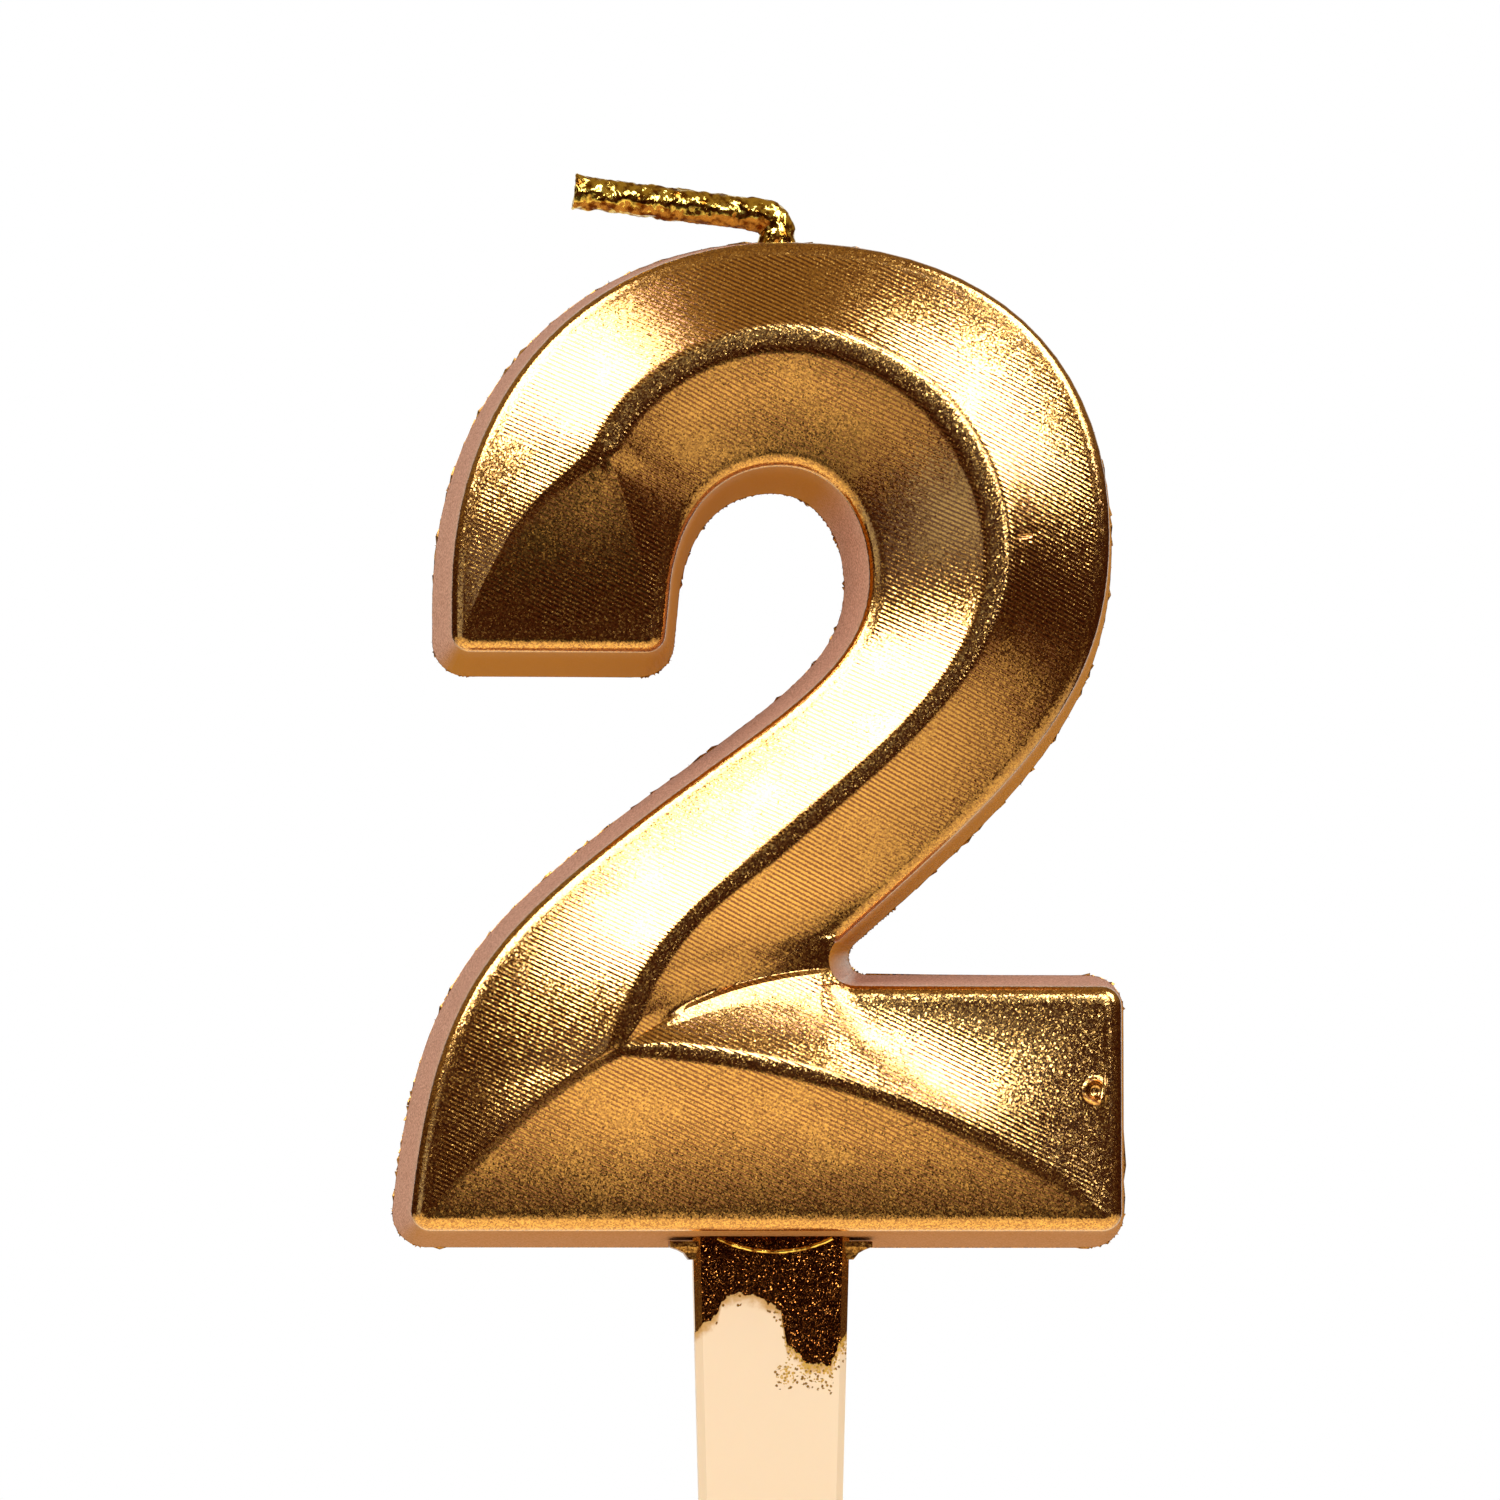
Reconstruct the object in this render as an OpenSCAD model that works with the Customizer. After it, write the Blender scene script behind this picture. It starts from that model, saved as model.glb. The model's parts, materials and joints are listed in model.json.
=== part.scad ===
// Number candle: a faceted wax numeral two on a flat plastic stick, with a kinked wick on its crown.
// The front faces -Y and Z runs up. The stick leaves the wax at the origin.

/* [Numeral] */
// Overall height of the numeral, measured on its back outline
numeral_h = 56.9; // [52:0.1:66]
// Depth of the side wall, from the flat back to the front edge
wall_depth = 8; // [6:0.1:11]
// How far each side wall leans in from the back to the front
draft_in = 0.85; // [0.4:0.05:0.95]
// Radius of the rounded front edge
edge_r = 0.7; // [0.3:0.05:0.9]
// Radius of the five outline corners
corner_r = 1.1; // [0.95:0.05:1.8]

/* [Bowl] */
// Overall width of the bowl, measured on its back outline
bowl_w = 38.5; // [35:0.1:42]
// Distance of the bowl's middle and the wick to the right of the stick's middle
bowl_x = 0.4; // [-1:0.1:1.5]
// Width of the stroke at the crown
crown_stroke = 12.6; // [10.5:0.1:13.5]
// Width of the stroke at the right of the bowl
bowl_stroke = 13.5; // [11.5:0.1:14.5]
// Width of the hook's square end
hook_stroke = 11.9; // [10:0.1:12.8]
// Height of the hook's end above the underside
hook_z = 33; // [31.5:0.1:36]
// Height of the widest point of the bowl
bowl_z = 39.75; // [38:0.1:42]

/* [Tail and base] */
// Overall width of the base bar, measured on its back outline
base_w = 41.4; // [39:0.1:46]
// Distance of the base bar's middle to the right of the stick's middle
base_x = -0.45; // [-1.5:0.05:0.5]
// Height of the base bar's front face
base_h = 13.65; // [12.5:0.1:15]
// Slope of the tail
tail_angle = 40; // [37:0.5:43]
// Width of the tail, square to its slope
tail_stroke = 12.2; // [10.5:0.1:13]
// Radius of the notch between the tail and the base bar
notch_r = 1.4; // [1.2:0.05:1.7]
// Radius of the same notch on the flat back
notch_back_r = 1; // [0.6:0.05:1.3]

/* [Ridge] */
// Height of the ridge above the front edge
ridge_h = 2.4; // [1.2:0.1:3.5]
// Radius of the hollow of each facet
hollow_r = 30; // [14:1:80]
// Radius of the hollow of the base bar's upper facet
bar_hollow_r = 14; // [12:1:80]
// Half width of the rounded crest along the stroke
crest_r = 0.95; // [0.4:0.05:1.4]
// Half width of the rounded crest on the hips and on the base bar
hip_r = 0.6; // [0.3:0.05:1]
// Squareness of the crest, from 1 for a round one
crest_square = 3; // [1:0.5:5]
// Height of the step along the seam between the tail and the base bar
seam_step = 0.15; // [0.1:0.05:0.7]

/* [Wick] */
// Diameter of the wick
wick_d = 1.8; // [1.2:0.1:2.4]
// Length of wick buried in the crown
wick_depth = 9; // [5:0.5:10]
// Height of the kink above the wax
kink_rise = 1.35; // [1:0.05:2]
// Length of the free end, from the kink to its cut
wick_tip_l = 11.5; // [8:0.1:14]
// Angle of the free end above the horizontal
wick_tilt = 7; // [0:1:30]
// Diameter of the flared cut end
cut_d = 2.2; // [1.8:0.1:2.6]

/* [Stick] */
// Width of the stick where it leaves the wax
stick_w = 8.75; // [6:0.05:11]
// Width of the stick where its point begins
stick_end_w = 6.9; // [4:0.1:8]
// Thickness of the stick
stick_t = 2; // [1.4:0.1:3]
// Length of stick below the wax
stick_l = 42; // [25:1:60]
// Length of the point
point_l = 7; // [4:0.5:12]
// Width of the blunt end of the point
point_w = 1.6; // [0.8:0.1:3]
// Length of stick buried in the wax
tang_l = 12; // [7:0.5:13]
// Chamfer on the long edges of the stick
stick_bevel = 0.4; // [0.1:0.05:0.6]

/* [Fit] */
// Gap around the buried wick and the buried stick
seat_gap = 0.04; // [0.02:0.01:0.1]

/* [Hidden] */
// Stations along each stretch of the outline
n_hip = 14;
n_crown = 16;
n_bowl = 18;
n_side = 20;
n_tail = 14;
n_seam = 12;
n_foot = 14;
// Stations on a whole and on half a corner
n_arc = 6;
n_half = 5;
// Stations on the base bar: top edge, end and underside
n_top = 9;
n_end = 4;
n_bar = n_half + n_top + n_arc + n_end + n_half;
// Steps round the front edge
n_edge = 3;
// Places across a facet, from the front edge to the start of the crest
across = [0, 0.05, 0.12, 0.3, 0.5, 0.72, 1];
// Places over the crest, from its start to its middle
over = [0.84, 0.66, 0.4, 0];
// Facets of the wick's round surfaces
wick_fn = 48;
// Shortest side that a triangle may have
least_side = 0.0005;

// Planes of the flat back and of the front edge
back_y = wall_depth / 2;
front_y = -wall_depth / 2;
// Wax poured proud of the mould, which is levelled off to make the flat back
pour_y = back_y + 0.5;
pour_lean = (pour_y - front_y - edge_r) / (wall_depth - edge_r);
// Wax surface at mid depth, at the crown and at the underside
crown_z = numeral_h - draft_in / 2;
under_z = draft_in / 2;

// Left and right limits and heights of the front outline
bowl_l = bowl_x - bowl_w / 2 + draft_in;
bowl_r = bowl_x + bowl_w / 2 - draft_in;
top_z = numeral_h - draft_in;
base_l = base_x - base_w / 2 + draft_in;
base_r = base_x + base_w / 2 - draft_in;
base_b = draft_in;
base_t = draft_in + base_h;

function unit(v) = v / norm(v);
function left_of(v) = [-v.y, v.x];
function heading(a) = [cos(a), sin(a)];
function mid(a, b, t = 0.5) = a + (b - a) * t;

// Cubic and quadratic curves
function cubic(p, t) =
    let (s = 1 - t)
    s * s * s * p[0] + 3 * s * s * t * p[1] + 3 * s * t * t * p[2] + t * t * t * p[3];
function quad(p, t) = (1 - t) * (1 - t) * p[0] + 2 * t * (1 - t) * p[1] + t * t * p[2];

// Points along a curve or a line, without the last one
function stretch(p, t0, t1, n) = [for (i = [0 : n - 1]) cubic(p, t0 + (t1 - t0) * i / n)];
function line(a, b, n) = [for (i = [0 : n - 1]) mid(a, b, i / n)];

// Curve from a to b that leaves along da and arrives along db
function bend(a, da, ha, b, db, hb) = [a, a + ha * da, b - hb * db, b];

// Round corner at k between the headings d0 and d1
function corner_turn(d0, d1) = acos(max(-1, min(1, d0 * d1)));
function corner_cut(d0, d1, r) = r * tan(corner_turn(d0, d1) / 2);
function corner(k, d0, d1, r, f0, f1, n) =
    let (
        side = d0.x * d1.y - d0.y * d1.x < 0 ? -1 : 1,
        inward = side * left_of(d0),
        c = k - corner_cut(d0, d1, r) * d0 + r * inward,
        a0 = atan2(-inward.y, -inward.x),
        sweep = side * corner_turn(d0, d1)
    )
    [for (i = [0 : n - 1]) c + r * heading(a0 + sweep * (f0 + (f1 - f0) * i / n))];

// Headings along the outline, which runs clockwise from the notch
go_up = [0, 1];
go_down = [0, -1];
go_right = [1, 0];
go_left = [-1, 0];
tail_flare = 1.75;
tail_out = -heading(tail_angle + tail_flare);
tail_in = heading(tail_angle - tail_flare);
foot_up = heading(84);
hook_in = heading(267);

// Middle of the tail and the points where its two edges turn
tail_mid = [mid(bowl_l, bowl_r, 0.468), mid(base_t, hook_z, 0.375)];
tail_go = heading(tail_angle);
tail_skew = 4.75;
tail_r = tail_mid + tail_skew * tail_go - tail_stroke / 2 * left_of(tail_go);
tail_l = tail_mid - tail_skew * tail_go + tail_stroke / 2 * left_of(tail_go);

// Corners of the outline
hook_l = [bowl_l, hook_z];
hook_r = [bowl_l + hook_stroke, hook_z];
base_tr = [base_r, base_t];
base_br = [base_r, base_b];
base_bl = [base_l, base_b];
notch = tail_r + (base_t - tail_r.y) / tail_out.y * tail_out;

// Key points of the bowl
crown = [mid(bowl_l, bowl_r, 0.51), top_z];
bowl_side = [bowl_r, bowl_z];
hook_turn = [bowl_l, hook_z + 3.2];
counter_top = [bowl_x, top_z - crown_stroke];
counter_r = [bowl_r - bowl_stroke, bowl_z - 2.45];
counter_l = [bowl_l + hook_stroke + 0.25, hook_z + 3];

// Curves of the outline
crown_round_l = 0.585;
crown_round_r = 0.625;
round_l = 0.56;
round_r = 0.6;
crown_l_curve = bend(hook_turn, go_up, crown_round_l * (top_z - hook_turn.y),
    crown, go_right, crown_round_l * (crown.x - bowl_l));
crown_r_curve = bend(crown, go_right, crown_round_r * (bowl_r - crown.x),
    bowl_side, go_down, crown_round_r * (top_z - bowl_z));
side_curve = bend(bowl_side, go_down, 0.4 * (bowl_z - tail_r.y),
    tail_r, tail_out, 0.55 * (bowl_z - tail_r.y));
foot_start = base_bl + corner_cut(go_left, foot_up, corner_r) * foot_up;
foot_curve = bend(foot_start, foot_up, 0.54 * (tail_l.y - base_b),
    tail_l, tail_in, 0.43 * (tail_l.y - base_b));
counter_curve = bend(tail_l, tail_in, 0.71 * (counter_r.y - tail_l.y),
    counter_r, go_up, 0.38 * (counter_r.y - tail_l.y));
inner_r_curve = bend(counter_r, go_up, round_r * (counter_top.y - counter_r.y),
    counter_top, go_left, round_l * (counter_r.x - bowl_x));
inner_l_curve = bend(counter_top, go_left, round_r * (bowl_x - counter_l.x),
    counter_l, hook_in, round_r * (counter_top.y - counter_l.y));

// Places on the outline that lie opposite the ridge's two forks
hook_fork_t = 0.28;
inner_fork_t = 0.55;
foot_fork_t = 0.27;

// Start and end points of the straight stretches
hook_cut = corner_cut(go_left, go_up, corner_r);
inner_cut = corner_cut(hook_in, go_left, corner_r);
bar_cut = corner_cut(go_right, go_down, corner_r);
foot_cut = corner_cut(go_left, foot_up, corner_r);
notch_cut = corner_cut(tail_out, go_right, notch_r);

// Forks of the ridge, at the hook and at the base bar
hook_fork = [mid(hook_l.x, hook_r.x) + 2.25, hook_z + 0.84 * (counter_top.y - hook_z) + 2];
foot_fork = [base_l + 0.295 * (base_r - base_l), base_b + 0.74 * base_h];
hook_foot = [mid(hook_l.x, hook_r.x) + 0.6, hook_z];
bar_foot = [foot_fork.x, base_b];

// Outline stretches from the hook's outer corner to the notch
edge_out = concat(
    corner(hook_l, go_left, go_up, corner_r, 0.5, 1, n_half),
    line(hook_l + hook_cut * go_up, hook_turn, 3),
    stretch(crown_l_curve, 0, hook_fork_t, n_hip - n_half - 3),
    stretch(crown_l_curve, hook_fork_t, 1, n_crown),
    stretch(crown_r_curve, 0, 1, n_bowl),
    stretch(side_curve, 0, 1, n_side),
    line(tail_r, notch - notch_cut * tail_out, n_tail),
    corner(notch, tail_out, go_right, notch_r, 0, 0.5, n_seam)
);
// Outline stretches round the base bar
edge_bar = concat(
    corner(notch, tail_out, go_right, notch_r, 0.5, 1, n_half),
    line(notch + notch_cut * go_right, base_tr - bar_cut * go_right, n_top),
    corner(base_tr, go_right, go_down, corner_r, 0, 1, n_arc),
    line(base_tr + bar_cut * go_down, base_br - bar_cut * go_down, n_end),
    corner(base_br, go_down, go_left, corner_r, 0, 0.5, n_half),
    corner(base_br, go_down, go_left, corner_r, 0.5, 1, n_half),
    line(base_br + bar_cut * go_left, bar_foot, n_bar + n_seam - n_half),
    line(bar_foot, base_bl - foot_cut * go_left, n_foot - n_half),
    corner(base_bl, go_left, foot_up, corner_r, 0, 0.5, n_half)
);
// Outline stretches from the base bar's left corner up to the hook's end
edge_in = concat(
    corner(base_bl, go_left, foot_up, corner_r, 0.5, 1, n_half),
    stretch(foot_curve, 0, foot_fork_t, n_foot - n_half),
    stretch(foot_curve, foot_fork_t, 1, n_tail),
    stretch(counter_curve, 0, 1, n_side),
    stretch(inner_r_curve, 0, 1, n_bowl),
    stretch(inner_l_curve, 0, inner_fork_t, n_crown),
    stretch(inner_l_curve, inner_fork_t, 1, n_hip - n_half - 3),
    line(counter_l, hook_r - inner_cut * hook_in, 3),
    corner(hook_r, hook_in, go_left, corner_r, 0, 0.5, n_half),
    corner(hook_r, hook_in, go_left, corner_r, 0.5, 1, n_half),
    line(hook_r + inner_cut * go_left, hook_foot, n_hip - n_half),
    line(hook_foot, hook_l - hook_cut * go_left, n_hip - n_half),
    corner(hook_l, go_left, go_up, corner_r, 0, 0.5, n_half)
);
edge = concat(edge_bar, edge_in, edge_out);
n_all = len(edge);

// Outward heading at each station
function outward(i) =
    let (
        before = edge[(i + n_all - 1) % n_all],
        after = edge[(i + 1) % n_all]
    )
    left_of(unit(unit(edge[i] - before) + unit(after - edge[i])));
out = [for (i = [0 : n_all - 1]) outward(i)];

// Back outline: leant out from the front one, with its own round notch
tail_back = tail_r + draft_in * left_of(tail_out);
notch_back = tail_back + (base_t + draft_in - tail_back.y) / tail_out.y * tail_out;
notch_back_cut = corner_cut(tail_out, go_right, notch_back_r);
back_bar = concat(
    corner(notch_back, tail_out, go_right, notch_back_r, 0.5, 1, n_half),
    line(notch_back + notch_back_cut * go_right, base_tr + [-bar_cut, draft_in], n_top)
);
back_tail = concat(
    line(tail_back, notch_back - notch_back_cut * tail_out, n_tail),
    corner(notch_back, tail_out, go_right, notch_back_r, 0, 0.5, n_seam)
);
i_tail = n_all - len(back_tail);
function back_edge(i) =
    i < len(back_bar) ? back_bar[i] :
    i < i_tail ? edge[i] + draft_in * out[i] :
    back_tail[i - i_tail];

// Inner end of the front edge at the four corners and at the notch
i_notch = 0;
i_right = n_bar;
i_foot = len(edge_bar);
i_inner = i_foot + n_foot + n_tail + n_side + n_bowl + n_crown + n_hip;
i_hook = i_foot + len(edge_in);
function brink(i) = edge[i] - edge_r * out[i];

// Shares along a crest that starts at a corner: close steps on the corner, then even ones
corner_share = 0.1;
function shares(n) = [for (i = [0 : n]) i < n_half
    ? corner_share * i / n_half
    : corner_share + (1 - corner_share) * (i - n_half) / (n - n_half)];
hip_u = shares(n_hip);
foot_u = shares(n_foot);
// Shares along the base bar's crest, with the seam's own stretch at its end
seam_share = 0.62;
bar_u = [for (i = [0 : n_bar + n_seam]) i < n_bar
    ? seam_share * shares(n_bar)[i]
    : seam_share + (1 - seam_share) * (i - n_bar) / n_seam];

// Crest curves in plan: the main ridge from the hook's fork to the base bar's fork
crest_crown = [bowl_x, top_z - 0.45 * crown_stroke];
crest_side = [bowl_r - 0.485 * bowl_stroke, bowl_z - 1.3];
crest_a = bend(hook_fork, heading(69.5), 3.6, crest_crown, go_right, 4.6);
crest_b = bend(crest_crown, go_right, 0.54 * (crest_side.x - bowl_x),
    crest_side, go_down, 0.54 * (crest_crown.y - crest_side.y));
crest_c = bend(crest_side, go_down, 0.38 * (crest_side.y - tail_mid.y),
    tail_mid, -tail_go, 0.53 * (crest_side.y - tail_mid.y));
crest_d = bend(tail_mid, -tail_go, 4, foot_fork, heading(256), 6);
// Side crests, each from its corner or notch to its fork
hip_l = [brink(i_hook), mid(brink(i_hook), hook_fork, 0.45) + [-1.6, 2.2], hook_fork];
hip_in = [brink(i_inner), mid(brink(i_inner), hook_fork) + [0.95, 0], hook_fork];
bar_crest = [brink(i_right), mid(brink(i_right), foot_fork, 0.43) + [0, 4.6], foot_fork];
foot_crest = [brink(i_foot), mid(brink(i_foot), foot_fork, 0.57) + [0, 1.7], foot_fork];
seam = [brink(i_notch), mid(brink(i_notch), foot_fork, 0.55) + [-0.2, 1.7], foot_fork];

// Hollow facet: height at distance v from an edge, where it rises by h over the length a,
// and goes on over a land that adds as much as a further length b
function hollow_rise(v, a, b, h, r) =
    let (
        bow = a * (a / 2 + b),
        k = min(1 / r, h / bow),
        e = (h - k * bow) / (a + b)
    )
    e * v + k * v * v / 2;
function hollow_slope(a, b, h, r) =
    let (
        bow = a * (a / 2 + b),
        k = min(1 / r, h / bow)
    )
    (h - k * bow) / (a + b) + k * a;

// Heights of the side crests, which keep the facets below them even, and of the seam
function hip_rise(p, q) = hollow_rise(q.y - p[0].y, p[2].y - p[0].y, 0, ridge_h, hollow_r);
function quad_go(p, t) = unit((1 - t) * (p[1] - p[0]) + t * (p[2] - p[1]));
function hip_slope(p, u) =
    let (
        go = quad_go(p, u),
        a = p[2].y - p[0].y,
        k = min(1 / hollow_r, 2 * ridge_h / (a * a)),
        climb = ridge_h / a - k * a / 2 + k * (quad(p, u).y - p[0].y)
    )
    climb * go.y * (1 - pow(u, 8)) * go;
function seam_rise(u) = ridge_h * pow(u, 1.25);
function step(u) = seam_step * min(1, 8 * u) * pow(1 - u, 0.6);

// A crest station holds its plan point, its height, its half width and its slope
level = [0, 0];
function on_ridge(p, n) = [for (q = stretch(p, 0, 1, n)) [q, ridge_h, crest_r, level]];
function on_ridge_back(p, n) = [for (i = [0 : n - 1]) [cubic(p, 1 - i / n), ridge_h, crest_r, level]];
function on_hip(p, us) = [for (u = us) let (q = quad(p, u)) [q, hip_rise(p, q), hip_r, hip_slope(p, u)]];
function head(v, n) = [for (i = [0 : n - 1]) v[i]];
function back(v, n) = [for (i = [0 : n - 1]) v[len(v) - 1 - i]];
seam_u = [for (i = [0 : n_seam]) i / n_seam];

crest = concat(
    on_hip(bar_crest, [for (i = [0 : n_bar - 1]) bar_u[n_bar - i]]),
    on_hip(bar_crest, head(bar_u, n_bar + n_seam)),
    on_hip(foot_crest, back(foot_u, n_foot)),
    on_hip(foot_crest, head(foot_u, n_foot)),
    on_ridge_back(crest_d, n_tail),
    on_ridge_back(crest_c, n_side),
    on_ridge_back(crest_b, n_bowl),
    on_ridge_back(crest_a, n_crown),
    on_hip(hip_in, back(hip_u, n_hip)),
    on_hip(hip_in, head(hip_u, n_hip)),
    on_hip(hip_l, back(hip_u, n_hip)),
    on_hip(hip_l, head(hip_u, n_hip)),
    on_ridge(crest_a, n_crown),
    on_ridge(crest_b, n_bowl),
    on_ridge(crest_c, n_side),
    on_ridge(crest_d, n_tail),
    [for (u = back(seam_u, n_seam)) [quad(seam, u), seam_rise(u) - step(u), 0, level]]
);

// Height at distance d from the crest: the crest's land, which falls by m along the way to the edge
// where the crest itself slopes, then a hollow facet down to the edge
function facet_rise(d, l, c, h, r, m) =
    let (
        b = c / (crest_square + 1),
        g = h - m * (c - b),
        s = hollow_slope(l - c, b, g, r)
    )
    d < c
        ? h - m * d - (s - m) * b * pow(d / c, crest_square + 1)
        : hollow_rise(l - d, l - c, b, g, r);

// Points over one facet, from its edge e at height h0 to its crest station
function facet(e, h0, top, sag, r) =
    let (
        l = norm(top[0] - e),
        c = min(top[2], 0.35 * l),
        ds = concat(
            [for (v = across) l - (l - c) * v],
            c * over
        )
    )
    [for (j = [0 : len(ds) - 1]) let (
            q = l < least_side ? e : mid(top[0], e, ds[j] / l),
            h = l < least_side ? 0 : facet_rise(ds[j], l, c, top[1] - h0, r, top[3] * (top[0] - e) / l),
            drop = j == 0 ? sag : j == 1 ? 0.4 * sag : 0
        )
        [q.x, front_y - h0 - h + drop, q.y]];

// One station: poured back, side wall, rounded front edge and facet
function station(i, top) =
    let (
        e = edge[i],
        o = out[i],
        b = mid(e, back_edge(i), pour_lean),
        t = top[0]
    )
    concat(
        [[t.x, pour_y, t.y], [b.x, pour_y, b.y]],
        [for (k = [0 : n_edge - 1]) let (
                a = 90 * k / n_edge,
                q = e - edge_r * (1 - cos(a)) * o
            )
            [q.x, front_y + edge_r * (1 - sin(a)), q.y]],
        facet(brink(i), 0, top, 0, i < n_bar ? bar_hollow_r : hollow_r)
    );

// One station of the base bar's facet along the seam
function seam_station(i) =
    let (
        u = 1 - i / n_seam,
        top = on_hip(bar_crest, [bar_u[n_bar + n_seam - i]])[0]
    )
    facet(quad(seam, u), seam_rise(u), top, step(u), bar_hollow_r);
function seam_back(i) =
    let (
        p = on_hip(bar_crest, [bar_u[n_bar + n_seam - i]])[0][0],
        q = quad(seam, 1 - i / n_seam)
    )
    [[p.x, pour_y, p.y], [q.x, pour_y, q.y]];

// All stations, from the notch round to the notch again on the tail's side
ring = concat(
    [for (i = [0 : n_all - 1]) station(i, crest[i])],
    [station(i_notch, [brink(i_notch), 0, 0, level])]
);
seam_front_grid = [for (i = [0 : n_seam]) seam_station(i)];
seam_back_grid = concat(
    [for (i = [0 : n_seam]) seam_back(i)],
    [[ring[0][0], ring[0][1]]]
);

// Triangles of a grid of stations, without those that have shrunk to a line
function apart(p, a, b) = norm(p[a] - p[b]) > least_side;
function whole(p, t) = apart(p, t[0], t[1]) && apart(p, t[1], t[2]) && apart(p, t[2], t[0]);
function skin(p, first, cols, rows) = [
    for (i = [0 : cols - 2])
        for (j = [0 : rows - 2])
            let (
                a = first + i * rows + j,
                b = a + rows
            )
            for (t = [[a, b, b + 1], [a, b + 1, a + 1]])
                if (whole(p, t)) t
];
function flat(grid) = [for (col = grid) each col];

// Wax as poured, before its back is levelled and the wick and the stick are let in
module relief() {
    ring_rows = len(ring[0]);
    front_rows = len(seam_front_grid[0]);
    points = concat(flat(ring), flat(seam_front_grid), flat(seam_back_grid));
    first_front = len(ring) * ring_rows;
    first_back = first_front + len(seam_front_grid) * front_rows;
    faces = concat(
        skin(points, 0, len(ring), ring_rows),
        skin(points, first_front, len(seam_front_grid), front_rows),
        skin(points, first_back, len(seam_back_grid), 2)
    );
    polyhedron(points, faces, convexity = 8);
}

// Stick outline from its buried end to its point, grown all round by a gap
tang_top = under_z + min(tang_l, base_h - 1.2);
function stick_half(z) = mid(stick_w, stick_end_w, -z / (stick_l - point_l)) / 2;
function stick_outline(g) = [
    [-stick_half(0) - g, tang_top + g],
    [stick_half(0) + g, tang_top + g],
    [stick_half(0) + g, 0],
    [stick_half(point_l - stick_l) + g, point_l - stick_l],
    [point_w / 2 + g, -stick_l],
    [-point_w / 2 - g, -stick_l],
    [-stick_half(point_l - stick_l) - g, point_l - stick_l],
    [-stick_half(0) - g, 0]
];
module blade(g, t) {
    rotate([90, 0, 0])
        linear_extrude(t, center = true)
            polygon(stick_outline(g));
}
module stick_solid(g) {
    hull() {
        blade(g, stick_t - 2 * stick_bevel + 2 * g);
        blade(g - stick_bevel, stick_t + 2 * g);
    }
}

// Wick axis, kink and free end
wick_r = wick_d / 2;
kink_z = crown_z + kink_rise;
kink_turn = 90 - wick_tilt;
kink_bend = wick_r + 0.12;
kink_cut = kink_bend * tan(kink_turn / 2);
cut_l = 1.4;

// Piece to draw

// Gilded wax numeral with its level back, blind wick hole and stick pocket
module numeral_body() {
    color("#b8862f")
        difference() {
            relief();
            translate([-numeral_h, back_y, -numeral_h])
                cube([2 * numeral_h, 10, 3 * numeral_h]);
            stick_solid(seat_gap);
            translate([bowl_x, 0, crown_z - wick_depth - seat_gap])
                cylinder(h = wick_depth + 5, r = wick_r + seat_gap, $fn = wick_fn);
        }
}

// Flat plastic stick with chamfered edges and a blunt point
module stick() {
    color("#f4dcb8")
        stick_solid(0);
}

// Buried stretch of the wick, up to the start of the kink
module wick_root() {
    color("#c99a45")
        translate([bowl_x, 0, crown_z - wick_depth])
            cylinder(h = wick_depth + kink_rise - kink_cut, r = wick_r, $fn = wick_fn);
}

// Kinked stretch of the wick
module wick_elbow() {
    color("#c99a45")
        translate([bowl_x - kink_bend, 0, kink_z - kink_cut])
            rotate([90, 0, 0])
                rotate_extrude(angle = kink_turn, $fn = wick_fn)
                    translate([kink_bend, 0])
                        circle(r = wick_r, $fn = wick_fn);
}

// Free end of the wick with its flared cut
module wick_tip() {
    color("#c99a45")
        translate([bowl_x, 0, kink_z])
            rotate([0, -kink_turn, 0])
                translate([0, 0, kink_cut]) {
                    cylinder(h = wick_tip_l - kink_cut - cut_l, r = wick_r, $fn = wick_fn);
                    translate([0, 0, wick_tip_l - kink_cut - cut_l])
                        cylinder(h = cut_l, r1 = wick_r, r2 = cut_d / 2, $fn = wick_fn);
                }
}

numeral_body();
stick();
wick_root();
wick_elbow();
wick_tip();
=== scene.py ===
import json
import math
import random

import bpy
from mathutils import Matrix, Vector

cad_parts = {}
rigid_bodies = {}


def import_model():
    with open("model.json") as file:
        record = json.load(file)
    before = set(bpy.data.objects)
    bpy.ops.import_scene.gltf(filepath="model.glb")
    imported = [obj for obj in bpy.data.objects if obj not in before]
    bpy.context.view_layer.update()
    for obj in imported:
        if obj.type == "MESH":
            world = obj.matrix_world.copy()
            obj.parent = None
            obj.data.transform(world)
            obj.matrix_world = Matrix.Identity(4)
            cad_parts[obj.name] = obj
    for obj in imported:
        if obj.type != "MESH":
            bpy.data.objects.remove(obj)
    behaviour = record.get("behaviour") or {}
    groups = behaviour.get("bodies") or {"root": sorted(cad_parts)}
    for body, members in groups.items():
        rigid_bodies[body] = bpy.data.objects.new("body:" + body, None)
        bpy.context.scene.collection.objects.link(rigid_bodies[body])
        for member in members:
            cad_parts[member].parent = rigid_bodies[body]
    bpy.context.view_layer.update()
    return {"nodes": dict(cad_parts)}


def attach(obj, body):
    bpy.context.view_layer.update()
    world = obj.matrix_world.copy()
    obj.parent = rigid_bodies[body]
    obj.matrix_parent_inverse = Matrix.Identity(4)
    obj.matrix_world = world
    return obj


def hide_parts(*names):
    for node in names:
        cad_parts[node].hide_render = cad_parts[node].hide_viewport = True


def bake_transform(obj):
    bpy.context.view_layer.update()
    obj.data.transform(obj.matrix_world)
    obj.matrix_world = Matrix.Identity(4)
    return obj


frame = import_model()

MM = 0.001

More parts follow.
